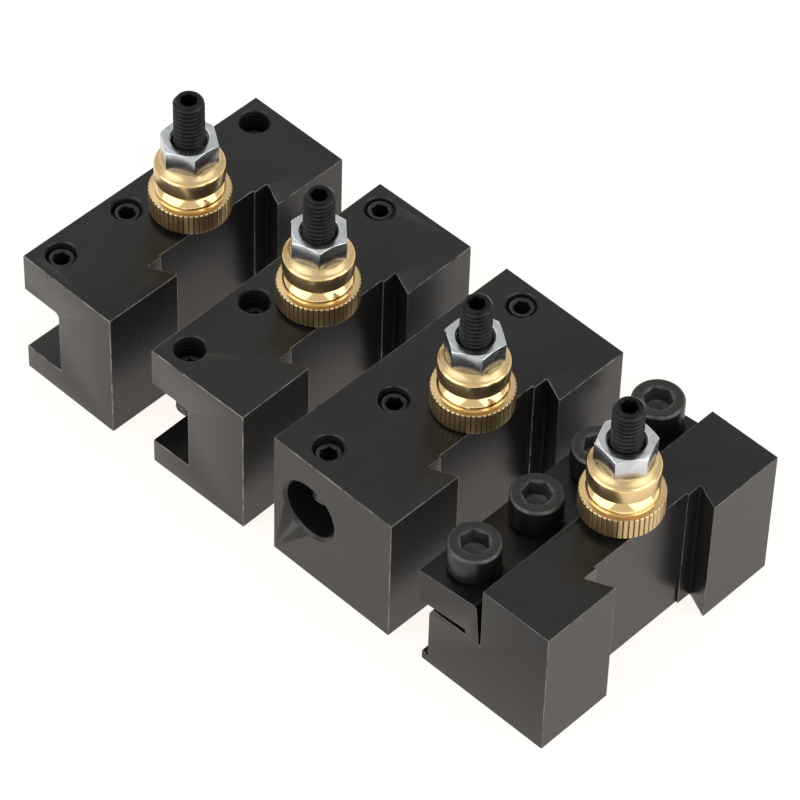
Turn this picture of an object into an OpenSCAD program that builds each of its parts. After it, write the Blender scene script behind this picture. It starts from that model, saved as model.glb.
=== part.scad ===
// Four tool holders of a quick change tool post: two turning holders, a boring bar holder and a
// parting blade holder, each with its height adjuster, standing side by side.
// Millimetres. +X is across the row, towards the dovetail faces. +Y is along the tools. +Z is up.
// The origin is on the standing surface, below the middle of the row.
// Each holder is drawn in its own frame, then placed: u = X from the dovetail face (always negative),
// v = Y from the front end face, z from the standing surface.

/* [Holders] */
// Length of every holder along its tool
holder_length = 60; // [58:1:70]
// Height of every holder
holder_height = 30; // [29:0.5:34]
// Width of the two turning holders
turning_width = 23.4; // [22.6:0.1:26]
// Width of the boring bar holder
boring_width = 29.5; // [29:0.1:32]

/* [Dovetail] */
// Width of the dovetail recess at the side face
dovetail_mouth = 25.8; // [24:0.1:28]
// Width of the dovetail recess at its floor
dovetail_floor = 30.2; // [29:0.1:32]
// Depth of the dovetail recess
dovetail_depth = 5.3; // [4.5:0.1:5.6]
// Length of the flat that truncates each dovetail corner
dovetail_flat = 0.4; // [0.2:0.1:1]
// Width of the clearance land milled into the dovetail floor
land_width = 24; // [20:0.5:26]
// Depth of the clearance land below the dovetail floor
land_depth = 0.5; // [0.2:0.1:0.8]

/* [Turning tool slot] */
// Height of the slot floor
slot_floor = 5.7; // [4:0.1:7]
// Height of the slot
slot_height = 15.4; // [13:0.1:17]
// Depth of the slot from the free side face
slot_depth = 9.2; // [8:0.1:9.4]
// Radius of the slot's inner top corner
slot_radius = 1; // [0.5:0.1:2]

/* [Boring bar bore] */
// Diameter of the bore
bore_d = 12; // [8:0.5:12]
// Distance of the bore axis from the dovetail face
bore_u = 20.6; // [20.4:0.1:21.4]
// Height of the bore axis
bore_z = 17.3; // [16:0.1:18]
// Chamfer at both mouths of the bore
bore_chamfer = 0.6; // [0.2:0.1:1]

/* [Clamp screws] */
// Diameter of every screw and stud thread
thread_d = 6; // [5:0.5:6]
// Radial play between a screw and its hole
thread_play = 0.05; // [0.02:0.01:0.08]
// Length of a set screw
set_screw_length = 12; // [10:1:13]
// Hexagon socket across flats of set screws and studs
set_screw_hex = 3; // [2.5:0.5:3]
// Distance of the first set screw from the front end face
first_screw_v = 5.4; // [5:0.1:6]
// Distance between neighbouring set screws
screw_pitch = 16.6; // [16:0.1:17]
// Distance of the set screws from the free side of a turning holder
turning_screw_edge = 4.6; // [4:0.1:5]
// Distance of the set screws from the dovetail face of the boring bar holder
boring_screw_u = 21; // [20.6:0.1:21.4]
// How far each set screw is sunk below the top face, first turning holder
turning_a_sunk = [1.1, 0.9, 0.8, 4.5]; // [0:0.1:5]
// How far each set screw is sunk below the top face, second turning holder
turning_b_sunk = [4.4, 4.2, 2.5, 0.4]; // [0:0.1:5]
// How far each set screw is sunk below the top face, boring bar holder
boring_sunk = [1.6, 1.1, 1.2, 0.5]; // [0:0.1:1.6]

/* [Parting holder] */
// Distance of the clamp step's wall from the dovetail face
wall_u = 15.6; // [15.2:0.1:15.6]
// Height of the clamp step's floor
step_z = 15.2; // [14.5:0.1:15.6]
// Distance of the blade face from the dovetail face
blade_face_u = 28; // [27.8:0.1:29]
// Width of the ledge that the blade stands on
ledge_width = 1.4; // [1:0.1:2.5]
// Height of the blade ledge
ledge_z = 2.1; // [1.6:0.1:3]
// Size of the corner groove beside the blade ledge
groove = 0.5; // [0.3:0.1:0.6]
// Chamfer between the step floor and the blade face
blade_chamfer = 0.8; // [0.3:0.1:1.2]
// Height of that chamfer
blade_chamfer_z = 1.6; // [0.5:0.1:2]

/* [Parting clamp] */
// Width of the clamp bar
clamp_width = 14.7; // [14:0.1:15]
// Height of the clamp bar above its heel
clamp_height = 7.75; // [7.5:0.05:8]
// Width of the heel that the bar rocks on
heel_width = 3.2; // [2.6:0.1:4]
// Depth of the heel below the bar
heel_depth = 1.7; // [1.6:0.1:2]
// Corner radius of the bar
clamp_radius = 0.9; // [0.5:0.1:1.2]
// Slope of the bar, nose down
clamp_slope = 6; // [5:0.5:6.5]
// Distance of the heel's corner from the dovetail face
heel_u = 16; // [15.9:0.1:16.2]
// Diameter of the screw holes in the bar
clamp_hole_d = 7.4; // [7.2:0.1:7.8]
// Distance of the cap screws from the dovetail face
cap_screw_u = 24.3; // [24:0.1:24.4]
// Distance of the first cap screw from the front end face
first_cap_v = 7.1; // [6:0.1:7.5]
// Distance between neighbouring cap screws
cap_pitch = 16; // [15.5:0.1:16]
// Length of a cap screw below its head
cap_screw_length = 20; // [16:1:20]
// Height of the underside of the cap screw heads
cap_seat_z = 24.5; // [24.5:0.1:25]

/* [Height adjuster] */
// Distance of each stud from its dovetail face
stud_u = [10.7, 10.9, 10.55, 11.35]; // [10.5:0.05:11.4]
// Distance of each stud from the front end face
stud_v = [30.6, 30.5, 31.3, 30.85]; // [29:0.05:32]
// Length of the stud
stud_length = 42; // [38:1:44]
// Height of the stud's top on each holder
stud_top = [58.2, 57.3, 56.3, 57.4]; // [55:0.1:60]
// Height of the underside of each height nut
nut_z = [30.9, 30.5, 30.3, 31.3]; // [30.2:0.1:31.5]
// Diameter of the height nut's knurled flange
flange_d = 15.7; // [15:0.1:16]
// Height of the knurled flange
flange_h = 4.8; // [4:0.1:5.5]
// Diameter of the height nut's collar
collar_d = 13.4; // [12.5:0.1:14]
// Diameter of the bead above the flange
bead_d = 13.4; // [12.8:0.1:13.6]
// Diameter of the neck under the collar
neck_d = 10; // [9:0.1:10.5]
// Height from the flange to the collar
waist_h = 3.1; // [3:0.05:4]
// Height of the collar's band
band_h = 3.3; // [2.4:0.05:3.5]
// Height of the cone on top of the collar
cone_h = 1.75; // [0.5:0.05:2]
// Lock nut across flats
lock_nut_flats = 10; // [9:0.5:10]
// Height of the lock nut
lock_nut_h = 4.7; // [4:0.1:5.5]
// Turn of each lock nut about its stud
lock_nut_turn = [-33, -44, -32.5, -68]; // [-90:1:90]

/* [Row] */
// Place of each holder's front dovetail corner across the row
row_x = [-42.1, -8.3, 28.4, 65.5]; // [-80:0.1:80]
// Place of each holder's front dovetail corner along the row's Y
row_y = [-30.9, -30.2, -29.8, -29.1]; // [-32:0.1:-28]
// Turn of each holder as it stands
row_turn = [-0.46, 0.54, -0.55, 0]; // [-1:0.01:1]

/* [Hidden] */
$fn = 48;
TURNING_A = 0;
TURNING_B = 1;
BORING = 2;
PARTING = 3;

over = 1;                                  // how far a cutter runs past the face it cuts
thread_r = thread_d / 2;
hole_r = thread_r + thread_play;
countersink = 0.2;                         // chamfer at the mouth of a screw hole
socket_depth = 3.5;                        // depth of a hexagon socket in a set screw or stud
point_chamfer = 0.9;                       // chamfer at the point of a set screw
crest_chamfer = 0.6;                       // chamfer at the top of a set screw or stud
cap_head_d = 10;
cap_head_h = 6;
cap_head_chamfer = 0.5;
cap_hex = 5;
cap_hex_depth = 3;
cap_hole_bottom = 3.4;                     // height of the bottom of the cap screw holes
heel_gap = 0.05;                           // gap between the heel and the step floor
nut_mouth_r = 3.7;                         // countersink radius at the top of a lock nut
edge_break = 0.25;                         // chamfer at the rims of a height nut
bead_h = 0.9;                              // height of the bead's cylinder above the flange
shoulder_h = 2.5;                          // height at which the bead's shoulder has met the neck
lip = 0.2;                                 // chamfer under the collar
cone_top_r = 5.2;                          // radius at the top of a height nut's cone
bright_h = flange_h + waist_h + band_h + cone_h;    // height of a whole height nut
turning_screw_u = turning_width - turning_screw_edge;
black = [0.13, 0.13, 0.135];
oxide = [0.08, 0.08, 0.085];

// Moves a holder's own frame to its place in the row
module placed(holder) {
    translate([row_x[holder], row_y[holder], 0])
        rotate([0, 0, row_turn[holder]])
            children();
}

// Stands a shape on a holder's stud axis at height z
module on_stud(holder, z) {
    placed(holder) translate([-stud_u[holder], stud_v[holder], z]) children();
}

// Runs a (u, z) outline along the tool direction, over the holder's length and past both ends by extra
module along_tool(extra = 0) {
    translate([0, holder_length + extra, 0])
        rotate([90, 0, 0])
            linear_extrude(holder_length + 2 * extra)
                children();
}

// Hexagonal prism, given across its flats
module hexagon(flats, height) {
    cylinder(d = flats / cos(30), h = height, $fn = 6);
}

// Dovetail recess with the clearance land in its floor, cut through the full height
module dovetail_cut() {
    middle = holder_length / 2;
    flank_end = dovetail_depth - dovetail_flat;
    translate([0, middle, -over])
        linear_extrude(holder_height + 2 * over) {
            polygon([
                [over, -dovetail_mouth / 2], [0, -dovetail_mouth / 2],
                [-flank_end, -dovetail_floor / 2], [-dovetail_depth, -dovetail_floor / 2],
                [-dovetail_depth, dovetail_floor / 2], [-flank_end, dovetail_floor / 2],
                [0, dovetail_mouth / 2], [over, dovetail_mouth / 2]
            ]);
            translate([-dovetail_depth - land_depth, -land_width / 2])
                square([land_depth + 1, land_width]);
        }
}

// Tapped hole from the top face down to a given height, with a countersunk mouth
module top_hole(u, v, bottom, r = hole_r) {
    translate([-u, v, 0]) {
        translate([0, 0, bottom]) cylinder(r = r, h = holder_height - bottom + over);
        translate([0, 0, holder_height - countersink])
            cylinder(r1 = r, r2 = r + countersink + over, h = countersink + over);
    }
}

// Hole that a holder's stud is fixed in
module stud_hole(holder) {
    top_hole(stud_u[holder], stud_v[holder], stud_top[holder] - stud_length, thread_r);
}

// Row of four set screw holes
module set_screw_holes(u, bottom) {
    for (k = [0:3]) top_hole(u, first_screw_v + k * screw_pitch, bottom);
}

// Rectangular holder block with its dovetail and its stud hole
module block(holder, width) {
    difference() {
        translate([-width, 0, 0]) cube([width, holder_length, holder_height]);
        dovetail_cut();
        stud_hole(holder);
    }
}

// Turning holder: a slot along the free side, under four screw holes
module turning_body(holder) {
    color(black) placed(holder) difference() {
        block(holder, turning_width);
        along_tool(over) difference() {
            translate([-turning_width - over, slot_floor]) square([slot_depth + over, slot_height]);
            translate([-turning_width + slot_depth, slot_floor + slot_height]) difference() {
                translate([-slot_radius, -slot_radius]) square(2 * slot_radius);
                translate([-slot_radius, -slot_radius]) circle(slot_radius);
            }
        }
        set_screw_holes(turning_screw_u, slot_floor + slot_height - slot_radius);
    }
}

module turning_a_body() turning_body(TURNING_A);
module turning_b_body() turning_body(TURNING_B);

// Boring bar holder: a chamfered through bore, under four screw holes
module boring_body() {
    mouth_r = bore_d / 2 + bore_chamfer + over;
    color(black) placed(BORING) difference() {
        block(BORING, boring_width);
        translate([-bore_u, 0, bore_z]) {
            translate([0, -over, 0]) rotate([-90, 0, 0])
                cylinder(d = bore_d, h = holder_length + 2 * over, $fn = 96);
            translate([0, -over, 0]) rotate([-90, 0, 0])
                cylinder(r1 = mouth_r, r2 = bore_d / 2, h = bore_chamfer + over, $fn = 96);
            translate([0, holder_length + over, 0]) rotate([90, 0, 0])
                cylinder(r1 = mouth_r, r2 = bore_d / 2, h = bore_chamfer + over, $fn = 96);
        }
        set_screw_holes(boring_screw_u, bore_z);
    }
}

// Parting holder: a stepped block with a blade face, a blade ledge and four tapped holes
module parting_body() {
    color(black) placed(PARTING) difference() {
        along_tool() polygon([
            [0, 0], [0, holder_height], [-wall_u, holder_height], [-wall_u, step_z],
            [-blade_face_u + blade_chamfer, step_z], [-blade_face_u, step_z - blade_chamfer_z],
            [-blade_face_u, ledge_z - groove], [-blade_face_u - groove, ledge_z - groove],
            [-blade_face_u - groove, ledge_z], [-blade_face_u - ledge_width, ledge_z],
            [-blade_face_u - ledge_width, 0]
        ]);
        dovetail_cut();
        stud_hole(PARTING);
        for (k = [0:3])
            translate([-cap_screw_u, first_cap_v + k * cap_pitch, cap_hole_bottom])
                cylinder(r = hole_r, h = step_z);
    }
}

// Outline of the clamp bar in its own frame: the heel's outer corner is the origin
module clamp_outline() {
    translate([-clamp_width, heel_depth]) {
        translate([clamp_radius, 0])
            square([clamp_width - 2 * clamp_radius, clamp_height]);
        translate([0, clamp_radius])
            square([clamp_width, clamp_height - 2 * clamp_radius]);
        for (x = [clamp_radius, clamp_width - clamp_radius])
            for (y = [clamp_radius, clamp_height - clamp_radius])
                translate([x, y]) circle(clamp_radius);
    }
    translate([-heel_width, 0]) square([heel_width, heel_depth + clamp_radius]);
}

// Clamp bar: sloped over the step, rocking on its heel's inner corner, with four clearance holes
module parting_clamp() {
    floor_z = step_z + heel_gap;
    color(oxide) placed(PARTING) difference() {
        along_tool() intersection() {
            translate([-heel_u, floor_z]) rotate(clamp_slope) clamp_outline();
            translate([-clamp_width - heel_u, floor_z]) square([clamp_width + heel_u, holder_height]);
        }
        for (k = [0:3])
            translate([-cap_screw_u, first_cap_v + k * cap_pitch, step_z - over])
                cylinder(d = clamp_hole_d, h = holder_height);
    }
}

// Socket head cap screw, standing with the underside of its head at z = 0
module cap_screw() {
    color(oxide) difference() {
        union() {
            translate([0, 0, -cap_screw_length + crest_chamfer])
                cylinder(r = thread_r, h = cap_screw_length - crest_chamfer);
            translate([0, 0, -cap_screw_length])
                cylinder(r1 = thread_r - crest_chamfer, r2 = thread_r, h = crest_chamfer);
            cylinder(d = cap_head_d, h = cap_head_h - cap_head_chamfer);
            translate([0, 0, cap_head_h - cap_head_chamfer])
                cylinder(d1 = cap_head_d, d2 = cap_head_d - 2 * cap_head_chamfer, h = cap_head_chamfer);
        }
        translate([0, 0, cap_head_h - cap_hex_depth]) hexagon(cap_hex, cap_hex_depth + over);
    }
}

module parting_cap_screw(k) {
    placed(PARTING)
        translate([-cap_screw_u, first_cap_v + (k - 1) * cap_pitch, cap_seat_z])
            cap_screw();
}

// Headless screw with a hexagon socket in its top, which is at z = 0
module headless_screw(length, point) {
    color(oxide) difference() {
        union() {
            translate([0, 0, -crest_chamfer])
                cylinder(r1 = thread_r, r2 = thread_r - crest_chamfer, h = crest_chamfer);
            translate([0, 0, point - length])
                cylinder(r = thread_r, h = length - point - crest_chamfer);
            translate([0, 0, -length])
                cylinder(r1 = thread_r - point, r2 = thread_r, h = point);
        }
        translate([0, 0, -socket_depth]) hexagon(set_screw_hex, socket_depth + over);
    }
}

module set_screw(holder, u, sunk, k) {
    placed(holder)
        translate([-u, first_screw_v + (k - 1) * screw_pitch, holder_height - sunk[k - 1]])
            headless_screw(set_screw_length, point_chamfer);
}

module turning_a_screw(k) set_screw(TURNING_A, turning_screw_u, turning_a_sunk, k);
module turning_b_screw(k) set_screw(TURNING_B, turning_screw_u, turning_b_sunk, k);
module boring_screw(k) set_screw(BORING, boring_screw_u, boring_sunk, k);

// Stud of a height adjuster, fixed in its holder
module stud(holder) {
    on_stud(holder, stud_top[holder]) headless_screw(stud_length, crest_chamfer);
}

// Brass height nut: knurled flange, bead with a sloping shoulder, neck, collar and a cone on top
module height_nut(holder) {
    flange_r = flange_d / 2;
    bead_r = bead_d / 2;
    neck_r = neck_d / 2;
    collar_r = collar_d / 2;
    collar_z = flange_h + waist_h;
    cone_z = collar_z + band_h;
    color([0.72, 0.58, 0.36]) on_stud(holder, nut_z[holder]) rotate_extrude($fn = 96)
        polygon([
            [hole_r, 0], [flange_r - edge_break, 0], [flange_r, edge_break],
            [flange_r, flange_h - edge_break], [flange_r - edge_break, flange_h],
            [bead_r, flange_h], [bead_r, flange_h + bead_h], [neck_r, flange_h + shoulder_h],
            [neck_r, collar_z], [collar_r - lip, collar_z], [collar_r, collar_z + lip],
            [collar_r, cone_z - edge_break], [collar_r - edge_break, cone_z],
            [cone_top_r, bright_h], [hole_r, bright_h]
        ]);
}

// Hexagon lock nut with the corners of its top rounded off and a countersunk top
module lock_nut(holder) {
    corner_r = lock_nut_flats / 2 / cos(30);
    top_r = lock_nut_flats / 2 - 0.1;
    facet = (corner_r - top_r) * tan(30);
    color([0.72, 0.75, 0.78]) on_stud(holder, nut_z[holder] + bright_h)
        rotate([0, 0, lock_nut_turn[holder]]) difference() {
            intersection() {
                hexagon(lock_nut_flats, lock_nut_h);
                rotate_extrude($fn = 96) polygon([
                    [0, 0], [corner_r, 0], [corner_r, lock_nut_h - facet], [top_r, lock_nut_h],
                    [0, lock_nut_h]
                ]);
            }
            translate([0, 0, -over]) cylinder(r = hole_r, h = lock_nut_h + 2 * over);
            translate([0, 0, lock_nut_h - nut_mouth_r + hole_r])
                cylinder(r1 = hole_r, r2 = nut_mouth_r + over, h = nut_mouth_r - hole_r + over);
        }
}

turning_a_body();
stud(TURNING_A);  // turning_a_stud
height_nut(TURNING_A);  // turning_a_height_nut
lock_nut(TURNING_A);  // turning_a_lock_nut
turning_a_screw(1);  // turning_a_screw_1
turning_a_screw(2);  // turning_a_screw_2
turning_a_screw(3);  // turning_a_screw_3
turning_a_screw(4);  // turning_a_screw_4
turning_b_body();
stud(TURNING_B);  // turning_b_stud
height_nut(TURNING_B);  // turning_b_height_nut
lock_nut(TURNING_B);  // turning_b_lock_nut
turning_b_screw(1);  // turning_b_screw_1
turning_b_screw(2);  // turning_b_screw_2
turning_b_screw(3);  // turning_b_screw_3
turning_b_screw(4);  // turning_b_screw_4
boring_body();
stud(BORING);  // boring_stud
height_nut(BORING);  // boring_height_nut
lock_nut(BORING);  // boring_lock_nut
boring_screw(1);  // boring_screw_1
boring_screw(2);  // boring_screw_2
boring_screw(3);  // boring_screw_3
boring_screw(4);  // boring_screw_4
parting_body();
stud(PARTING);  // parting_stud
height_nut(PARTING);  // parting_height_nut
lock_nut(PARTING);  // parting_lock_nut
parting_clamp();
parting_cap_screw(1);  // parting_cap_screw_1
parting_cap_screw(2);  // parting_cap_screw_2
parting_cap_screw(3);  // parting_cap_screw_3
parting_cap_screw(4);  // parting_cap_screw_4
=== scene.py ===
"""Looks of four dovetail tool holders for a lathe's quick change post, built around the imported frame.

Lengths are metres in the row frame: +X runs across the row towards the dovetail faces, +Y along the
tools and +Z up, with the origin on the standing surface below the middle of the row. Each new piece
is shaped in millimetres about its own axis and then placed where the frame has the CAD node.
"""

import logging
import math
from collections.abc import Callable, Iterable
from dataclasses import dataclass, field
from enum import Enum
from typing import Any, Union

import bmesh
import bpy
from mathutils import Matrix, Vector


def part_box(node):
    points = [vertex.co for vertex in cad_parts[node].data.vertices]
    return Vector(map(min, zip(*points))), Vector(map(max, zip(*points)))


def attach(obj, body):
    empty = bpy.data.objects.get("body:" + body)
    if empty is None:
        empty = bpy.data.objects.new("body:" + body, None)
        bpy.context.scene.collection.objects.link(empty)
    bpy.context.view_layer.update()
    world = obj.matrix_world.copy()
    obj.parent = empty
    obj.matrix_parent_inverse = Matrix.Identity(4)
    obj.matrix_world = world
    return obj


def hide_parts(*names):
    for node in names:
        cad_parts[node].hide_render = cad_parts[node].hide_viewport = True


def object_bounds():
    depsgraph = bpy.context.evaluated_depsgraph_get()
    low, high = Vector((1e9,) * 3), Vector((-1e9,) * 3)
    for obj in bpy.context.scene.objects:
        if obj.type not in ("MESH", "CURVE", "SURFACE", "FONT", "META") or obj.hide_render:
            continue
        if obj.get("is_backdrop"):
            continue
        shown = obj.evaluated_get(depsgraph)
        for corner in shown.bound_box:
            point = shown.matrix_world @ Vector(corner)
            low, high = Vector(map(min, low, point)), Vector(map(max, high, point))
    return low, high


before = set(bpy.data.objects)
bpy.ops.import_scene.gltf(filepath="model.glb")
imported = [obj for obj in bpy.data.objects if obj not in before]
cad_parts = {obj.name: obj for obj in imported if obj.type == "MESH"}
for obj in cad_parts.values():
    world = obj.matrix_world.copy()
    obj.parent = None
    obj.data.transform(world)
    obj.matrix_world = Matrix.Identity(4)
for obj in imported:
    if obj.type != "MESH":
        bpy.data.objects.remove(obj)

LOG = logging.getLogger("holders")
MM = 0.001
FULL_TURN = 2 * math.pi
LIP = 0.02
FLAT_RAD = math.radians(0.5)
CURVED_RAD = math.radians(12)
Operand = Union["Field", float]
Colour = tuple[float, float, float]


class Slot(Enum):
    """Material slots of the record."""

    ANODISED = "anodised"
    OXIDE_STUD = "oxide_stud"
    OXIDE_SCREW = "oxide_screw"
    OXIDE_CAP = "oxide_cap"
    OXIDE_BAR = "oxide_bar"
    BRASS = "brass"
    ZINC = "zinc"


class Layer(Enum):
    """Mesh attributes that the finishes read."""

    # Marks eased edges, thread crests and screw rims for a lighter colour that is partly bare metal and
    # partly painted highlight, and marks flute grooves for painted shade.
    WEAR_AND_PAINTED_LIGHT = "wear_and_painted_light"
    POLISH = "polish"
    TURNED = "turned"


class Field:
    """One output socket that varies over a surface. Operators on fields add Math nodes."""

    def __init__(self, shader: "Shader", socket: bpy.types.NodeSocket) -> None:
        """Wraps a socket of a shader's node tree."""
        self.shader = shader
        self.socket = socket

    def math(self, operation: str, first: Operand, second: Operand = 0.0) -> "Field":
        """Adds a Math node.

        Args:
            operation: the node's operation, such as "ADD".
            first: the first operand.
            second: the second operand.

        Returns:
            The result as a field.
        """
        return self.shader.field("ShaderNodeMath", {"operation": operation}, {0: first, 1: second})

    def __add__(self, other: Operand) -> "Field":
        """Sum."""
        return self.math("ADD", self, other)

    def __radd__(self, other: Operand) -> "Field":
        """Sum, with the number first."""
        return self.math("ADD", other, self)

    def __sub__(self, other: Operand) -> "Field":
        """Difference."""
        return self.math("SUBTRACT", self, other)

    def __rsub__(self, other: Operand) -> "Field":
        """Difference, with the number first."""
        return self.math("SUBTRACT", other, self)

    def __mul__(self, other: Operand) -> "Field":
        """Product."""
        return self.math("MULTIPLY", self, other)

    def __rmul__(self, other: Operand) -> "Field":
        """Product, with the number first."""
        return self.math("MULTIPLY", other, self)

    def __pow__(self, other: Operand) -> "Field":
        """Power."""
        return self.math("POWER", self, other)

    def magnitude(self) -> "Field":
        """The value without its sign."""
        return self.math("ABSOLUTE", self)

    def span(self, low: float, high: float) -> "Field":
        """Maps low..high onto 0..1, held within it.

        Args:
            low: the value that becomes 0.
            high: the value that becomes 1.

        Returns:
            The mapped field.
        """
        return self.shader.field("ShaderNodeMapRange", {"clamp": True}, {0: self, 1: low, 2: high})


class Shader:
    """A material whose nodes are made through one method."""

    def __init__(self, name: str) -> None:
        """Starts an empty node tree.

        Args:
            name: the material's name.
        """
        self.material = bpy.data.materials.new(name)
        self.material.use_nodes = True
        self.tree = self.material.node_tree
        self.tree.nodes.clear()

    def node(self, kind: str, settings: dict[str, Any], inputs: dict[Any, Any]) -> bpy.types.Node:
        """Adds a node.

        Args:
            kind: the node's type.
            settings: the node's own properties, set first; "stops" gives a ramp's colours.
            inputs: socket name or index to a value, a socket or a field.

        Returns:
            The new node.
        """
        made = self.tree.nodes.new(kind)
        for name, value in settings.items():
            if name == "stops":
                self._ramp(made.color_ramp, value)
            else:
                setattr(made, name, value)
        for key, value in inputs.items():
            source = value.socket if isinstance(value, Field) else value
            if isinstance(source, bpy.types.NodeSocket):
                self.tree.links.new(source, made.inputs[key])
            else:
                made.inputs[key].default_value = source
        return made

    @staticmethod
    def _ramp(ramp: bpy.types.ColorRamp, stops: list[tuple[float, float]]) -> None:
        """Gives a ramp its stops, as (position, grey level)."""
        while len(ramp.elements) < len(stops):
            ramp.elements.new(0.5)
        for element, (position, level) in zip(ramp.elements, stops):
            element.position = position
            element.color = (level, level, level, 1)

    def field(self, kind: str, settings: dict[str, Any], inputs: dict[Any, Any], out: Any = 0) -> Field:
        """Adds a node and returns one of its outputs.

        Args:
            kind: the node's type.
            settings: the node's own properties.
            inputs: socket name or index to a value, a socket or a field.
            out: name or index of the output.

        Returns:
            That output as a field.
        """
        return Field(self, self.node(kind, settings, inputs).outputs[out])

    def attribute(self, layer: Layer) -> Field:
        """A mesh attribute as a field."""
        return self.field("ShaderNodeAttribute", {"attribute_name": layer.value}, {}, "Fac")

    def place(self) -> Field:
        """The point on the piece, in metres."""
        return self.field("ShaderNodeTexCoord", {}, {}, "Object")

    def normal(self) -> Field:
        """The direction of the surface in the row frame, before any bump."""
        return self.field("ShaderNodeTexCoord", {}, {}, "Normal")

    def parts(self, vector: Field) -> tuple[Field, Field, Field]:
        """Splits a vector into its three parts."""
        made = self.node("ShaderNodeSeparateXYZ", {}, {0: vector})
        return Field(self, made.outputs[0]), Field(self, made.outputs[1]), Field(self, made.outputs[2])

    def noise(self, vector: Field, scale: tuple[float, float, float], detail: float = 2.0,
              roughness: float = 0.5) -> Field:
        """Noise from 0 to 1, stretched by its three scales.

        Args:
            vector: where the noise is read.
            scale: cells per metre along x, y and z.
            detail: octaves.
            roughness: weight of the finer octaves.

        Returns:
            The noise.
        """
        spread = self.field("ShaderNodeMapping", {}, {"Vector": vector, "Scale": scale})
        return self.field("ShaderNodeTexNoise", {},
                          {"Vector": spread, "Scale": 1.0, "Detail": detail, "Roughness": roughness})

    def mix(self, factor: Operand, first: Any, second: Any) -> Field:
        """Mixes two colours.

        Args:
            factor: 0 for the first, 1 for the second.
            first: a colour or a field.
            second: a colour or a field.

        Returns:
            The mixed colour.
        """
        shown = [(*c, 1.0) if isinstance(c, tuple) else c for c in (first, second)]
        settings = {"data_type": "RGBA", "clamp_factor": True}
        return self.field("ShaderNodeMix", settings, {0: factor, 6: shown[0], 7: shown[1]}, 2)

    def bump(self, height: Field, distance: float) -> Field:
        """A normal from a height of 0 to 1.

        Args:
            height: the height field.
            distance: what a height of 1 stands for, in metres.

        Returns:
            The normal.
        """
        return self.field("ShaderNodeBump", {}, {"Strength": 1.0, "Distance": distance, "Height": height},
                          "Normal")

    def surface(self, inputs: dict[str, Any]) -> bpy.types.Material:
        """Closes the material with a Principled surface.

        Args:
            inputs: the surface's sockets.

        Returns:
            The finished material.
        """
        made = self.node("ShaderNodeBsdfPrincipled", {}, inputs)
        self.node("ShaderNodeOutputMaterial", {}, {"Surface": made.outputs[0]})
        return self.material


@dataclass(frozen=True)
class Anodised:
    """Satin black anodised aluminium, milled on its sides; its broken edges are lightened, partly as bare
    aluminium showing through and partly as a painted highlight.
    """

    name: str = "black_anodised"
    film: Colour = (0.0040, 0.0038, 0.0035)
    dusty: Colour = (0.0095, 0.0090, 0.0082)
    rubbed_and_highlit: Colour = (0.42, 0.40, 0.38)
    roughness: float = 0.3
    specular: float = 0.35

    def build(self) -> bpy.types.Material:
        """Makes the material."""
        s = Shader(self.name)
        place = s.place()
        facing_x, facing_y, facing_z = s.parts(s.normal())
        level = facing_z.magnitude().span(0.6, 0.9)
        cloud = s.noise(place, (60, 60, 60), 3)
        grain = s.noise(place, (3200, 3200, 3200), 3, 0.7)
        speck = s.noise(place, (5200, 5200, 5200), 1)
        upright = s.noise(place, (2600, 2600, 22), 3, 0.65)
        lengthwise = s.noise(place, (2400, 30, 2400), 3, 0.65)
        milled = level * (0.35 * lengthwise + 0.65 * grain) + (1 - level) * (0.75 * upright + 0.25 * grain)
        wear_and_painted_light = s.attribute(Layer.WEAR_AND_PAINTED_LIGHT)
        # Painted highlight: the eased edges turn light grey, partly as bare aluminium showing through and
        # partly as a painted edge highlight.
        rub_and_painted_highlight = wear_and_painted_light * s.noise(place, (420, 420, 420), 3, 0.6).span(0.3, 0.62)
        tone = (0.55 * cloud + 0.3 * milled + 0.15 * speck).span(0.32, 0.68)
        film = s.mix(tone, self.film, self.dusty)
        colour = s.mix(rub_and_painted_highlight * 0.55, film, self.rubbed_and_highlit)
        rough = self.roughness + 0.16 * (milled - 0.5) + 0.08 * (cloud - 0.5) - 0.1 * rub_and_painted_highlight
        height = milled * (0.5 + 0.5 * level) + 0.3 * grain
        return s.surface({
            "Base Color": colour,
            "Metallic": rub_and_painted_highlight * 0.75,
            "Roughness": rough,
            "Specular IOR Level": self.specular,
            "Normal": s.bump(height, 0.0000065),
        })


@dataclass(frozen=True)
class BlackOxide:
    """Blackened steel, oiled; crests, rims and eased edges take a lighter colour, partly bare steel and
    partly painted highlight.
    """

    name: str
    base: Colour
    worn_and_painted_light: Colour
    roughness: float
    specular: float
    crest_metal: float = 0.7
    grain: float = 2600.0

    def build(self) -> bpy.types.Material:
        """Makes the material."""
        s = Shader(self.name)
        place = s.place()
        cloud = s.noise(place, (260, 260, 260), 3)
        grain = s.noise(place, (self.grain, self.grain, self.grain), 3, 0.65)
        smear = s.noise(place, (900, 900, 300), 2)
        wear_and_painted_light = s.attribute(Layer.WEAR_AND_PAINTED_LIGHT)
        # Painted highlight: marked crests, rims and edges turn lighter, partly as bare steel and partly as
        # painted highlight.
        rub_and_painted_highlight = wear_and_painted_light * (0.35 + 0.65 * smear.span(0.35, 0.65))
        tone = (0.6 * cloud + 0.4 * grain).span(0.3, 0.7)
        lifted = tuple(1.7 * part for part in self.base)
        colour = s.mix(rub_and_painted_highlight * 0.75, s.mix(tone, self.base, lifted), self.worn_and_painted_light)
        rough = self.roughness + 0.14 * (grain - 0.5) + 0.1 * (cloud - 0.5) - 0.06 * rub_and_painted_highlight
        return s.surface({
            "Base Color": colour,
            "Metallic": self.crest_metal * rub_and_painted_highlight,
            "Roughness": rough,
            "Specular IOR Level": self.specular,
            "Normal": s.bump(grain, 0.000004),
        })


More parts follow.
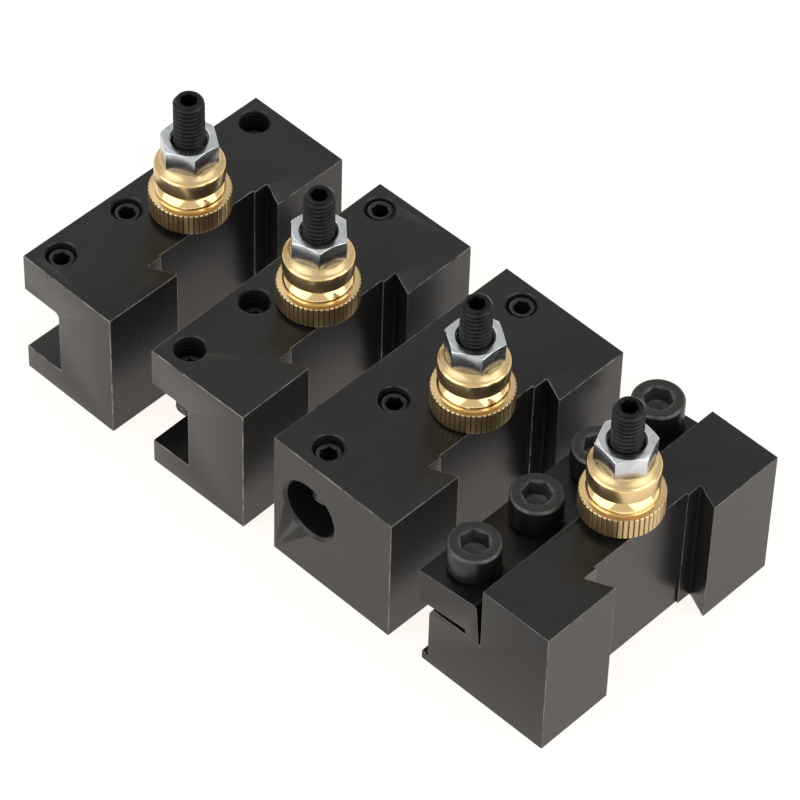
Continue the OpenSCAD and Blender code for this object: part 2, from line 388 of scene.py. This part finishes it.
@dataclass(frozen=True)
class TurnedBrass:
    """Turned brass: satin where the layer polish is 0 and polished where it is 1, with a lighter colour
    there that paints in part of the sheen.
    """

    name: str = "turned_brass"
    satin: Colour = (0.58, 0.44, 0.235)
    polished_sheen: Colour = (0.78, 0.57, 0.28)
    dull: Colour = (0.42, 0.305, 0.155)

    def build(self) -> bpy.types.Material:
        """Makes the material."""
        s = Shader(self.name)
        place = s.place()
        polish = s.attribute(Layer.POLISH)
        along = s.attribute(Layer.TURNED)
        wear_and_painted_light = s.attribute(Layer.WEAR_AND_PAINTED_LIGHT)
        rings = s.field("ShaderNodeTexNoise", {"noise_dimensions": "1D"},
                        {"W": along, "Scale": 9000.0, "Detail": 3.0, "Roughness": 0.7})
        broad = s.field("ShaderNodeTexNoise", {"noise_dimensions": "1D"},
                        {"W": along, "Scale": 1800.0, "Detail": 2.0, "Roughness": 0.6})
        cloud = s.noise(place, (330, 330, 330), 3)
        grain = s.noise(place, (4200, 4200, 4200), 2)
        tarnish = (0.6 * cloud + 0.4 * broad).span(0.35, 0.7)
        satin = s.mix(tarnish * 0.55, self.satin, self.dull)
        # Polished parts take a lighter colour, which paints in part of their sheen.
        metal = s.mix(polish, satin, self.polished_sheen)
        # Painted shade: the flute grooves marked in the layer are mixed to dark brown.
        colour = s.mix(wear_and_painted_light, metal, (0.20, 0.13, 0.06))
        rough = 0.36 - 0.22 * polish + 0.12 * (rings - 0.5) * (1 - 0.7 * polish) + 0.1 * (cloud - 0.5) \
            + 0.15 * wear_and_painted_light
        height = (rings * 0.7 + grain * 0.3) * (1 - 0.85 * polish)
        return s.surface({
            "Base Color": colour,
            "Metallic": 1.0,
            "Roughness": rough,
            "Normal": s.bump(height, 0.000006),
        })


@dataclass(frozen=True)
class BrightZinc:
    """Bright zinc plate over a pressed nut, faintly blue and mottled."""

    name: str = "bright_zinc"
    cool: Colour = (0.45, 0.49, 0.52)
    warm: Colour = (0.60, 0.63, 0.645)

    def build(self) -> bpy.types.Material:
        """Makes the material."""
        s = Shader(self.name)
        place = s.place()
        cloud = s.noise(place, (450, 450, 450), 3)
        grain = s.noise(place, (3000, 3000, 3000), 3, 0.6)
        drag = s.noise(place, (700, 700, 3800), 2)
        wear_and_painted_light = s.attribute(Layer.WEAR_AND_PAINTED_LIGHT)
        colour = s.mix((0.7 * cloud + 0.3 * drag).span(0.35, 0.65), self.cool, self.warm)
        rough = 0.24 + 0.12 * (cloud - 0.5) + 0.1 * (grain - 0.5) - 0.08 * wear_and_painted_light
        return s.surface({
            "Base Color": colour,
            "Metallic": 1.0,
            "Roughness": rough,
            "Normal": s.bump(0.6 * grain + 0.4 * drag, 0.000006),
        })


class Finishes:
    """Every finish of the set, built once and found by its record slot."""

    def __init__(self) -> None:
        """Builds the materials."""
        self.materials: dict[Slot, bpy.types.Material] = {
            Slot.ANODISED: Anodised().build(),
            Slot.OXIDE_STUD: BlackOxide("oiled_oxide_stud", (0.0024, 0.0023, 0.0023), (0.04, 0.038, 0.035),
                                        0.34, 0.16, crest_metal=0.15).build(),
            Slot.OXIDE_SCREW: BlackOxide("oiled_oxide_screw", (0.0040, 0.0039, 0.0039), (0.10, 0.095, 0.09),
                                         0.33, 0.36, crest_metal=0.4).build(),
            Slot.OXIDE_CAP: BlackOxide("satin_oxide_cap", (0.0045, 0.0044, 0.0042), (0.18, 0.17, 0.16),
                                       0.34, 0.42).build(),
            Slot.OXIDE_BAR: BlackOxide("ground_oxide_bar", (0.0030, 0.0029, 0.0027), (0.26, 0.25, 0.23),
                                       0.32, 0.25).build(),
            Slot.BRASS: TurnedBrass().build(),
            Slot.ZINC: BrightZinc().build(),
        }

    def __getitem__(self, slot: Slot) -> bpy.types.Material:
        """The material of a slot."""
        return self.materials[slot]


@dataclass
class Piece:
    """One finished piece: what it is called, what it rides on and which CAD node it stands for."""

    name: str
    node: str
    body: str
    slot: Slot
    smooth_deg: float = 24.0

    def finish(self, bm: bmesh.types.BMesh, finishes: Finishes) -> bpy.types.Object:
        """Turns a bmesh in the row frame, in metres, into the finished object.

        Args:
            bm: the shape, which is freed.
            finishes: the finishes of the set.

        Returns:
            The new object.
        """
        mesh = bpy.data.meshes.new(self.name)
        bm.to_mesh(mesh)
        bm.free()
        mesh.set_sharp_from_angle(angle=math.radians(self.smooth_deg))
        mesh.materials.append(finishes[self.slot])
        made = bpy.data.objects.new(self.name, mesh)
        bpy.context.scene.collection.objects.link(made)
        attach(made, self.body)
        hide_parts(self.node)
        LOG.info("%s: %d faces, rides on %s", self.name, len(mesh.polygons), self.body)
        return made


class Rings:
    """A shape grown ring by ring from a circle about its own axis, in millimetres."""

    def __init__(self, count: int, radius: float, z: float) -> None:
        """Starts with a circle.

        Args:
            count: corners of the circle.
            radius: its radius.
            z: its height.
        """
        self.bm = bmesh.new()
        bmesh.ops.create_circle(self.bm, cap_ends=False, segments=count, radius=radius,
                                matrix=Matrix.Translation((0, 0, z)))
        self.edges = list(self.bm.edges)

    def grow(self, radius: Callable[[float], float] | float,
             z: Callable[[float], float] | float) -> list[bmesh.types.BMVert]:
        """Extrudes the last ring to a new one.

        Args:
            radius: the new radius, or a function of the angle that gives it.
            z: the new height, or a function of the new radius that gives it.

        Returns:
            The new ring's corners.
        """
        made = bmesh.ops.extrude_edge_only(self.bm, edges=self.edges)["geom"]
        self.edges = [e for e in made if isinstance(e, bmesh.types.BMEdge)]
        corners = [v for v in made if isinstance(v, bmesh.types.BMVert)]
        for v in corners:
            angle = math.atan2(v.co.y, v.co.x)
            reach = radius(angle) if callable(radius) else radius
            height = z(reach) if callable(z) else z
            v.co = (reach * math.cos(angle), reach * math.sin(angle), height)
        return corners

    def close(self, peak: float) -> None:
        """Fills the last ring and pulls the middle of the fill by peak along Z."""
        close_loop(self.bm, self.edges, peak)


def close_loop(bm: bmesh.types.BMesh, edges: list[bmesh.types.BMEdge], peak: float) -> None:
    """Closes a loop with a fan of faces.

    Args:
        bm: the mesh.
        edges: the loop.
        peak: how far the middle stands above the loop along Z.
    """
    made = bmesh.ops.edgeloop_fill(bm, edges=edges)["faces"]
    middle = bmesh.ops.poke(bm, faces=made)["verts"]
    bmesh.ops.translate(bm, verts=middle, vec=(0, 0, peak))


def rounded(bm: bmesh.types.BMesh) -> bmesh.types.BMesh:
    """Turns a shape's normals outwards and shades all of its faces smooth.

    Args:
        bm: the closed shape.

    Returns:
        The same mesh.
    """
    bmesh.ops.recalc_face_normals(bm, faces=bm.faces)
    for face in bm.faces:
        face.smooth = True
    return bm


def rim(bm: bmesh.types.BMesh, z: float) -> list[bmesh.types.BMEdge]:
    """The open edges of a mesh at a height.

    Args:
        bm: the mesh.
        z: the height.

    Returns:
        The edges.
    """
    return [e for e in bm.edges if e.is_boundary and all(abs(v.co.z - z) < 1e-3 for v in e.verts)]


def joined(parts: Iterable[bmesh.types.BMesh]) -> bmesh.types.BMesh:
    """Joins several meshes into the first one, whose faces keep their shading, and frees the others.

    Args:
        parts: the meshes.

    Returns:
        The first mesh, with the others in it.
    """
    first, *rest = parts
    for part in rest:
        shading = [face.smooth for face in first.faces]
        held = bpy.data.meshes.new("held")
        part.to_mesh(held)
        part.free()
        first.from_mesh(held)
        for face, smooth in zip(first.faces, shading):
            face.smooth = smooth
        bpy.data.meshes.remove(held)
    return first


def placed(bm: bmesh.types.BMesh, at: Vector, turn: float = 0.0) -> bmesh.types.BMesh:
    """Scales a shape from millimetres to metres, turns it about Z and moves it to its place.

    Args:
        bm: the shape.
        at: its origin's place in the row frame, in metres.
        turn: its turn about Z, in degrees.

    Returns:
        The same mesh.
    """
    spot = Matrix.Translation(at) @ Matrix.Rotation(math.radians(turn), 4, "Z") @ Matrix.Scale(MM, 4)
    bmesh.ops.transform(bm, matrix=spot, verts=bm.verts)
    return bm


def axis_top(node: str) -> Vector:
    """The point where an upright node's own axis leaves its top, in metres."""
    low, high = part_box(node)
    return Vector(((low.x + high.x) / 2, (low.y + high.y) / 2, high.z))


def axis_base(node: str) -> Vector:
    """The point where an upright node's own axis meets its underside, in metres."""
    low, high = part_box(node)
    return Vector(((low.x + high.x) / 2, (low.y + high.y) / 2, low.z))


@dataclass(frozen=True)
class ThreadForm:
    """A metric thread, in millimetres."""

    crest: float
    root: float
    pitch: float = 1.0
    steps: int = 32
    crest_flat: float = 0.16
    root_flat: float = 0.22

    def profile(self) -> list[tuple[float, float, float]]:
        """One pitch of the outline as (height, radius, mark); the mark lightens the crests, partly as bare
        steel and partly as a painted highlight.
        """
        half_crest = self.crest_flat / 2 * self.pitch
        half_root = self.root_flat / 2 * self.pitch
        middle = self.pitch / 2
        return [
            (half_crest, self.crest, 1.0),
            (middle - half_root, self.root, 0.0),
            (middle + half_root, self.root, 0.0),
            (self.pitch - half_crest, self.crest, 1.0),
        ]

    def helix(self, low: float, high: float) -> bmesh.types.BMesh:
        """The bare threaded surface between two heights, cut flat at both.

        Args:
            low: the lower end.
            high: the upper end.

        Returns:
            An open tube.
        """
        bm = bmesh.new()
        worn_and_painted_light = bm.verts.layers.float.new(Layer.WEAR_AND_PAINTED_LIGHT.value)
        turns = math.ceil((high - low) / self.pitch) + 2
        line = []
        for turn in range(turns):
            for height, radius, wear_and_painted_light in self.profile():
                v = bm.verts.new((radius, 0, low - 1.5 * self.pitch + turn * self.pitch + height))
                v[worn_and_painted_light] = wear_and_painted_light
                line.append(v)
        edges = [bm.edges.new(pair) for pair in zip(line, line[1:])]
        bmesh.ops.spin(bm, geom=line + edges, cent=(0, 0, 0), axis=(0, 0, 1),
                       dvec=(0, 0, self.pitch / self.steps), angle=FULL_TURN, steps=self.steps,
                       use_merge=False)
        bmesh.ops.remove_doubles(bm, verts=bm.verts, dist=1e-3)
        for z, outer in ((low, False), (high, True)):
            bmesh.ops.bisect_plane(bm, geom=bm.verts[:] + bm.edges[:] + bm.faces[:], dist=1e-4,
                                   plane_co=(0, 0, z), plane_no=(0, 0, 1),
                                   clear_outer=outer, clear_inner=not outer)
        return bm

    def narrow(self, bm: bmesh.types.BMesh, end: float, inward: float, size: float) -> None:
        """Cuts a 45 degree chamfer at one end of a helix.

        Args:
            bm: the helix.
            end: the height of the end.
            inward: 1 if the thread lies above the end, -1 if it lies below.
            size: the chamfer's size.
        """
        bmesh.ops.bisect_plane(bm, geom=bm.verts[:] + bm.edges[:] + bm.faces[:], dist=1e-4,
                               plane_co=(0, 0, end + inward * size), plane_no=(0, 0, 1))
        for v in bm.verts:
            depth = (v.co.z - end) * inward
            limit = self.crest - size + depth
            reach = math.hypot(v.co.x, v.co.y)
            if depth < size + 1e-4 and reach > limit:
                v.co.x *= limit / reach
                v.co.y *= limit / reach


@dataclass(frozen=True)
class HexSocket:
    """A hexagon socket with a coned mouth and a drilled bottom, in millimetres."""

    flats: float
    depth: float
    mouth: float
    sides: int = 48
    slope: float = 0.62

    def reach(self, angle: float) -> float:
        """Distance of the hexagon from its axis at an angle."""
        sixth = math.pi / 3
        return self.flats / 2 / math.cos(angle % sixth - sixth / 2)

    def sink(self, rings: Rings, top: float) -> None:
        """Grows the socket down from a ring of radius mouth.

        Args:
            rings: the shape, whose last ring is the mouth.
            top: the height of that ring.
        """
        rings.grow(self.reach, lambda reach: top - self.slope * (self.mouth - reach))
        rings.grow(self.reach, top - self.depth)
        rings.grow(self.flats / 2 * 0.97, top - self.depth)
        rings.close(-self.flats * 0.24)


@dataclass(frozen=True)
class SocketRod:
    """A headless threaded rod with a hexagon socket in its top, which is at z = 0."""

    thread: ThreadForm
    socket: HexSocket
    length: float
    top_chamfer: float
    point_chamfer: float
    cup: float

    def build(self) -> bmesh.types.BMesh:
        """Makes the rod, about its own axis."""
        bm = self.thread.helix(-self.length, 0)
        self.thread.narrow(bm, 0, -1, self.top_chamfer)
        self.thread.narrow(bm, -self.length, 1, self.point_chamfer)
        close_loop(bm, rim(bm, -self.length), self.cup)
        rings = Rings(self.socket.sides, self.socket.mouth, -LIP)
        self.socket.sink(rings, -LIP)
        bm = joined((bm, rings.bm))
        bmesh.ops.bridge_loops(bm, edges=rim(bm, 0) + rim(bm, -LIP))
        return rounded(bm)


@dataclass(frozen=True)
class CapScrew:
    """A socket head cap screw with the underside of its head at z = 0, in millimetres."""

    head_radius: float = 5.0
    head_height: float = 6.0
    chamfer: float = 0.42
    length: float = 20.0
    plain: float = 2.0
    thread: ThreadForm = ThreadForm(crest=2.97, root=2.45)
    socket: HexSocket = HexSocket(flats=5.0, depth=3.2, mouth=2.98)

    def build(self) -> bmesh.types.BMesh:
        """Makes the screw, about its own axis."""
        top = self.head_height
        rings = Rings(self.socket.sides * 2, self.head_radius - 0.15, 0)
        worn_and_painted_light = rings.bm.verts.layers.float.new(Layer.WEAR_AND_PAINTED_LIGHT.value)
        close_loop(rings.bm, rings.edges, 0)
        rings.edges = rim(rings.bm, 0) or [e for e in rings.bm.edges if len(e.link_faces) == 1]
        rings.grow(self.head_radius, 0.15)
        rings.grow(self.head_radius, top - self.chamfer - 0.08)
        # The third number marks each ring for the lighter oxide colour: on the head's chamfer and at the
        # socket mouth it is mostly a painted highlight, with some bare steel.
        for radius, z, wear_and_painted_light in (
            (self.head_radius - 0.03, top - self.chamfer, 0.25),
            (self.head_radius - self.chamfer + 0.06, top - 0.05, 0.6),
            (self.head_radius - self.chamfer - 0.04, top, 0.3),
            (self.head_radius - self.chamfer - 0.2, top, 0.0),
            (self.socket.mouth + 0.08, top, 0.1),
            (self.socket.mouth, top - 0.02, 0.5),
        ):
            for v in rings.grow(radius, z):
                v[worn_and_painted_light] = wear_and_painted_light
        HexSocket(self.socket.flats, self.socket.depth, self.socket.mouth,
                  self.socket.sides * 2).sink(rings, top - 0.02)
        shank = self.thread.helix(-self.length, -self.plain)
        self.thread.narrow(shank, -self.length, 1, 0.6)
        close_loop(shank, rim(shank, -self.length), 0)
        neck = Rings(self.socket.sides, self.thread.crest, LIP - self.plain)
        neck.grow(self.thread.crest, 0.5)
        neck.close(0)
        shank = joined((shank, neck.bm))
        bmesh.ops.bridge_loops(shank, edges=rim(shank, -self.plain) + rim(shank, LIP - self.plain))
        return rounded(joined((rings.bm, shank)))


@dataclass(frozen=True)
class TappedSleeve:
    """The thread of a tapped hole: a ring sunk in the hole's wall, with its ridges inwards."""

    top: float
    bottom: float
    wall: float = 3.35
    thread: ThreadForm = ThreadForm(crest=3.06, root=2.83, steps=32, crest_flat=0.3, root_flat=0.16)

    def build(self) -> bmesh.types.BMesh:
        """Makes the ring, about its own axis and at its own heights."""
        bm = self.thread.helix(self.bottom, self.top)
        bm.verts.layers.float.remove(bm.verts.layers.float[Layer.WEAR_AND_PAINTED_LIGHT.value])
        outer = Rings(self.thread.steps, self.wall, self.bottom + LIP)
        outer.grow(self.wall, self.top - LIP)
        bm = joined((bm, outer.bm))
        for inner, wall in ((self.bottom, self.bottom + LIP), (self.top, self.top - LIP)):
            bmesh.ops.bridge_loops(bm, edges=rim(bm, inner) + rim(bm, wall))
        return rounded(bm)


@dataclass(frozen=True)
class Station:
    """One corner of a turned outline, in millimetres, with its polish."""

    radius: float
    z: float
    polish: float = 0.0


@dataclass
class HeightNut:
    """A brass height nut: fluted flange, polished bead, neck, collar and a cone, base at z = 0."""

    flutes: int = 50
    steps_per_flute: int = 6
    flute_depth: float = 0.26
    flange_radius: float = 7.85
    flange_height: float = 4.8
    outline: list[Station] = field(default_factory=lambda: [
        Station(3.07, 0.0), Station(7.5, 0.0), Station(7.72, 0.1), Station(7.83, 0.28),
        Station(7.85, 0.5), Station(7.85, 4.4), Station(7.81, 4.6), Station(7.7, 4.74),
        Station(7.5, 4.8, 0.4), Station(6.9, 4.8, 0.5), Station(6.74, 4.84, 0.8),
        Station(6.68, 4.95, 1), Station(6.7, 5.25, 1), Station(6.67, 5.55, 1), Station(6.56, 5.85, 1),
        Station(6.4, 6.12, 1), Station(6.2, 6.4, 1), Station(5.94, 6.7, 1), Station(5.64, 6.98, 1),
        Station(5.34, 7.2, 0.9), Station(5.12, 7.34, 0.8), Station(5.0, 7.45, 0.6),
        Station(4.98, 7.6, 0.4), Station(5.1, 7.78, 0.3), Station(5.3, 7.86, 0.2),
        Station(6.42, 7.92, 0.2), Station(6.58, 7.98, 0.3), Station(6.67, 8.12, 0.3),
        Station(6.7, 8.4, 0.1), Station(6.7, 11.12, 0.5), Station(6.64, 11.34, 0.9),
        Station(6.52, 11.5, 0.9), Station(6.36, 11.6, 0.5), Station(6.1, 11.75, 0.1),
        Station(5.8, 12.0, 0.1), Station(5.5, 12.35, 0.1), Station(5.34, 12.65, 0.1),
        Station(5.26, 12.95, 0.1), Station(3.07, 12.95),
    ])

    def build(self) -> bmesh.types.BMesh:
        """Makes the nut, about its own axis."""
        bm = bmesh.new()
        polish = bm.verts.layers.float.new(Layer.POLISH.value)
        turned = bm.verts.layers.float.new(Layer.TURNED.value)
        worn_and_painted_light = bm.verts.layers.float.new(Layer.WEAR_AND_PAINTED_LIGHT.value)
        line, run, last = [], 0.0, self.outline[0]
        for station in self.outline:
            run += math.hypot(station.radius - last.radius, station.z - last.z)
            last = station
            v = bm.verts.new((station.radius, 0, station.z))
            v[polish] = station.polish
            v[turned] = run * MM
            line.append(v)
        edges = [bm.edges.new(pair) for pair in zip(line, line[1:] + line[:1])]
        steps = self.flutes * self.steps_per_flute
        bmesh.ops.spin(bm, geom=line + edges, cent=(0, 0, 0), axis=(0, 0, 1), dvec=(0, 0, 0),
                       angle=FULL_TURN, steps=steps, use_merge=True)
        bmesh.ops.remove_doubles(bm, verts=bm.verts, dist=1e-4)
        self._flute(bm, steps, worn_and_painted_light)
        return rounded(bm)

    def _flute(self, bm: bmesh.types.BMesh, steps: int, worn_and_painted_light: Any) -> None:
        """Presses the straight flutes into the flange.

        Args:
            bm: the turned nut.
            steps: its corners round.
            worn_and_painted_light: the layer that marks the grooves, which the brass paints dark as shade.
        """
        floor = self.flange_radius - self.flute_depth
        for v in bm.verts:
            reach = math.hypot(v.co.x, v.co.y)
            step = round(math.atan2(v.co.y, v.co.x) / FULL_TURN * steps) % self.steps_per_flute
            if v.co.z < self.flange_height - 0.02 and reach > floor and step == 0:
                v.co.x *= floor / reach
                v.co.y *= floor / reach
                # Marks the groove for painted shade in the brass.
                v[worn_and_painted_light] = 1.0


@dataclass(frozen=True)
class Easing:
    """How a CAD solid's sharp edges are broken, in millimetres and degrees."""

    width: float
    sharp_deg: float = 50.0
    segments: int = 2
    inside: float = 0.3
    wear_and_painted_light: float = 1.0
    curved_area: float = 60.0

    def copy(self, node: str) -> bmesh.types.BMesh:
        """Merges a copy of a CAD node's mesh and breaks its outer edges.

        Args:
            node: the CAD node.

        Returns:
            The copy, in millimetres in the row frame.
        """
        bm = bmesh.new()
        bm.from_mesh(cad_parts[node].data)
        bmesh.ops.scale(bm, vec=(1 / MM,) * 3, verts=bm.verts)
        bmesh.ops.remove_doubles(bm, verts=bm.verts, dist=1e-2)
        bmesh.ops.dissolve_limit(bm, angle_limit=math.radians(0.4), verts=bm.verts, edges=bm.edges)
        worn_and_painted_light = bm.faces.layers.float.new(Layer.WEAR_AND_PAINTED_LIGHT.value)
        low, high = (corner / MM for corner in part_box(node))

        def deep(v: bmesh.types.BMVert) -> bool:
            """Whether a corner lies inside the solid's box."""
            return all(low[k] + self.inside < v.co[k] < high[k] - self.inside for k in range(3))

        for face in bm.faces:
            face.smooth = face.calc_area() < self.curved_area and any(
                e.is_manifold and FLAT_RAD < e.calc_face_angle(0) < CURVED_RAD for e in face.edges)
        limit = math.radians(self.sharp_deg)
        edges = [e for e in bm.edges if e.is_manifold and e.is_convex
                 and e.calc_face_angle(0) > limit and not all(deep(v) for v in e.verts)]
        made = bmesh.ops.bevel(bm, geom=edges, offset=self.width, offset_type="OFFSET",
                               segments=self.segments, profile=0.5, affect="EDGES", material=-1,
                               clamp_overlap=True, loop_slide=False)
        # Bevel faces get the mark for the lighter edge colour: bare metal showing through and a painted
        # edge highlight.
        for face in made["faces"]:
            face[worn_and_painted_light] = self.wear_and_painted_light
            face.smooth = True
        return bm

    def metres(self, bm: bmesh.types.BMesh) -> bmesh.types.BMesh:
        """Scales the copy back to metres."""
        return placed(bm, Vector((0, 0, 0)))


class HolderKind(Enum):
    """The patterns of holder in the set."""

    TURNING = "turning"
    BORING = "boring"
    PARTING = "parting"


@dataclass
class HeightAdjuster:
    """A stud with its brass height nut and its zinc lock nut."""

    holder: str
    turn_deg: float
    stud: SocketRod = SocketRod(ThreadForm(crest=2.97, root=2.44), HexSocket(3.0, 3.4, 1.8),
                                length=42.0, top_chamfer=0.6, point_chamfer=0.6, cup=0.0)
    nut: HeightNut = field(default_factory=HeightNut)
    nut_easing: Easing = Easing(width=0.14, sharp_deg=25.0, inside=math.inf)

    def build(self, finishes: Finishes) -> None:
        """Makes the three pieces."""
        h = self.holder
        stud = placed(self.stud.build(), axis_top(f"{h}_stud"), self.turn_deg)
        Piece(f"{h}_threaded_stud", f"{h}_stud", f"{h}_holder", Slot.OXIDE_STUD).finish(stud, finishes)
        nut = placed(self.nut.build(), axis_base(f"{h}_height_nut"), self.turn_deg / 3)
        Piece(f"{h}_fluted_nut", f"{h}_height_nut", f"{h}_height_nut", Slot.BRASS).finish(nut, finishes)
        lock = self.nut_easing.metres(self.nut_easing.copy(f"{h}_lock_nut"))
        Piece(f"{h}_hexagon_nut", f"{h}_lock_nut", f"{h}_lock_nut", Slot.ZINC).finish(lock, finishes)


@dataclass
class SetScrews:
    """The four set screws of a turning or boring holder."""

    holder: str
    turns_deg: tuple[float, float, float, float]
    screw: SocketRod = SocketRod(ThreadForm(crest=2.8, root=2.4), HexSocket(3.0, 3.4, 1.8),
                                 length=12.0, top_chamfer=0.5, point_chamfer=0.8, cup=0.7)

    def build(self, finishes: Finishes) -> None:
        """Makes the screws."""
        for number, turn in enumerate(self.turns_deg, 1):
            node = f"{self.holder}_screw_{number}"
            shape = placed(self.screw.build(), axis_top(node), turn)
            Piece(f"{self.holder}_set_screw_{number}", node, node, Slot.OXIDE_SCREW).finish(shape, finishes)


@dataclass
class Holder:
    """One holder: its eased block with the threads of its holes, and everything screwed to it."""

    name: str
    kind: HolderKind
    adjuster_turn_deg: float
    screw_turns_deg: tuple[float, float, float, float]
    easing: Easing = Easing(width=0.16)
    hole_depth: dict[HolderKind, float] = field(default_factory=lambda: {
        HolderKind.TURNING: 8.6, HolderKind.BORING: 6.4})

    def build(self, finishes: Finishes) -> None:
        """Makes the holder's pieces."""
        self._block(finishes)
        HeightAdjuster(self.name, self.adjuster_turn_deg).build(finishes)
        if self.kind is not HolderKind.PARTING:
            SetScrews(self.name, self.screw_turns_deg).build(finishes)

    def _block(self, finishes: Finishes) -> None:
        """Makes the block, with a thread in every set screw hole."""
        node = f"{self.name}_body"
        block = self.easing.metres(self.easing.copy(node))
        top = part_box(node)[1].z
        parts = [block]
        if self.kind is not HolderKind.PARTING:
            for number in range(1, 5):
                sleeve = TappedSleeve(top=-0.26, bottom=-self.hole_depth[self.kind]).build()
                spot = axis_top(f"{self.name}_screw_{number}")
                parts.append(placed(sleeve, Vector((spot.x, spot.y, top))))
        whole = joined(parts)
        Piece(f"{self.name}_block", node, f"{self.name}_holder", Slot.ANODISED).finish(whole, finishes)


@dataclass
class PartingClamp:
    """The sloped clamp bar of the parting holder with its four cap screws."""

    turns_deg: tuple[float, float, float, float]
    easing: Easing = Easing(width=0.14, sharp_deg=60.0)
    screw: CapScrew = CapScrew()

    def build(self, finishes: Finishes) -> None:
        """Makes the bar and the screws."""
        bar = self.easing.metres(self.easing.copy("parting_clamp"))
        Piece("parting_clamp_bar", "parting_clamp", "parting_clamp", Slot.OXIDE_BAR).finish(bar, finishes)
        for number, turn in enumerate(self.turns_deg, 1):
            node = f"parting_cap_screw_{number}"
            base = axis_base(node) + Vector((0, 0, self.screw.length * MM))
            shape = placed(self.screw.build(), base, turn)
            Piece(f"parting_socket_cap_{number}", node, node, Slot.OXIDE_CAP).finish(shape, finishes)


@dataclass(frozen=True)
class Softbox:
    """A square studio light that looks at the middle of the row."""

    name: str
    azimuth_deg: float
    elevation_deg: float
    distance: float
    size: float
    watts: float

    def build(self, target: Vector) -> None:
        """Adds the light.

        Args:
            target: the point it looks at.
        """
        light = bpy.data.lights.new(self.name, "AREA")
        light.shape = "SQUARE"
        light.size = self.size
        light.energy = self.watts
        lamp = bpy.data.objects.new(self.name, light)
        az, el = math.radians(self.azimuth_deg), math.radians(self.elevation_deg)
        back = Vector((math.sin(az) * math.cos(el), -math.cos(az) * math.cos(el), math.sin(el)))
        lamp.location = target + back * self.distance
        lamp.rotation_mode = "QUATERNION"
        lamp.rotation_quaternion = (-back).to_track_quat("-Z", "Y")
        bpy.context.scene.collection.objects.link(lamp)


@dataclass
class Studio:
    """A pale floor, soft light and the camera."""

    camera_at: tuple[float, float, float] = (0.398209, -0.428067, 0.664981)
    azimuth_deg: float = 42.792
    elevation_deg: float = 47.902
    roll_deg: float = 1.793
    lens_mm: float = 214.27
    sensor_mm: float = 36.0
    floor_size: float = 6.0
    floor_glow: Colour = (0.93, 0.86, 0.81)
    floor_right: Colour = (1.30, 1.20, 1.10)
    floor_tone: float = 0.2
    sky: Colour = (0.80, 0.79, 0.78)

    def build(self) -> None:
        """Sets the stage."""
        self._floor()
        self._world()
        self._lights()
        self._camera()
        view = bpy.context.scene.view_settings
        view.view_transform = "Standard"
        view.look = "None"

    def _floor(self) -> None:
        """Adds the floor, lit a little from below like a light table."""
        bm = bmesh.new()
        bmesh.ops.create_grid(bm, x_segments=1, y_segments=1, size=self.floor_size / 2)
        mesh = bpy.data.meshes.new("floor")
        bm.to_mesh(mesh)
        bm.free()
        shader = Shader("pale_floor")
        tone = (self.floor_tone,) * 3 + (1.0,)
        across = shader.parts(shader.place())[0].span(0.06, 0.22)
        mesh.materials.append(shader.surface({
            "Base Color": tone, "Roughness": 0.9, "Specular IOR Level": 0.0,
            "Emission Color": shader.mix(across, self.floor_glow, self.floor_right),
            "Emission Strength": 1.0}))
        floor = bpy.data.objects.new("floor", mesh)
        bpy.context.scene.collection.objects.link(floor)
        floor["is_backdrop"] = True

    def _world(self) -> None:
        """Sets an even pale surrounding."""
        world = bpy.data.worlds.new("surrounding")
        world.use_nodes = True
        world.node_tree.nodes["Background"].inputs[0].default_value = (*self.sky, 1)
        world.node_tree.nodes["Background"].inputs[1].default_value = 1.0
        bpy.context.scene.world = world

    def _lights(self) -> None:
        """Adds the softboxes, either side of the camera and above."""
        low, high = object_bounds()
        middle = (low + high) / 2
        for box in (
            Softbox("softbox_left", self.azimuth_deg - 59, 25, 0.9, 0.95, 5.0),
            Softbox("softbox_right", self.azimuth_deg + 59, 25, 0.9, 0.95, 5.0),
            Softbox("softbox_back", self.azimuth_deg + 222, 48, 1.0, 0.5, 0.6),
        ):
            box.build(middle)

    def _camera(self) -> None:
        """Adds the camera."""
        az, el = math.radians(self.azimuth_deg), math.radians(self.elevation_deg)
        roll = math.radians(self.roll_deg)
        back = Vector((math.sin(az) * math.cos(el), -math.cos(az) * math.cos(el), math.sin(el)))
        level = (-back).cross(Vector((0, 0, 1))).normalized()
        upright = level.cross(-back)
        right = math.cos(roll) * level + math.sin(roll) * upright
        up = -math.sin(roll) * level + math.cos(roll) * upright
        lens = bpy.data.cameras.new("camera")
        lens.sensor_width = self.sensor_mm
        lens.lens = self.lens_mm
        lens.clip_start = 0.05
        lens.clip_end = 20.0
        camera = bpy.data.objects.new("camera", lens)
        camera.matrix_world = Matrix.Translation(self.camera_at) @ Matrix(
            (right, up, back)).transposed().to_4x4()
        bpy.context.scene.collection.objects.link(camera)
        bpy.context.scene.camera = camera


def corners() -> list[list[float]]:
    """The shown object's lowest and highest corners as plain lists."""
    return [list(corner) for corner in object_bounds()]


def main() -> None:
    """Builds the set around the frame."""
    logging.basicConfig(level=logging.INFO, format="%(name)s: %(message)s")
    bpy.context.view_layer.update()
    finishes = Finishes()
    for holder in (
        Holder("turning_a", HolderKind.TURNING, 12.0, (10.0, 35.0, 52.0, 20.0)),
        Holder("turning_b", HolderKind.TURNING, 40.0, (25.0, 5.0, 48.0, 30.0)),
        Holder("boring", HolderKind.BORING, 25.0, (15.0, 40.0, 8.0, 33.0)),
        Holder("parting", HolderKind.PARTING, 33.0, (0.0, 0.0, 0.0, 0.0)),
    ):
        holder.build(finishes)
    PartingClamp((18.0, 40.0, 5.0, 28.0)).build(finishes)
    Studio().build()


if __name__ == "__main__":
    main()
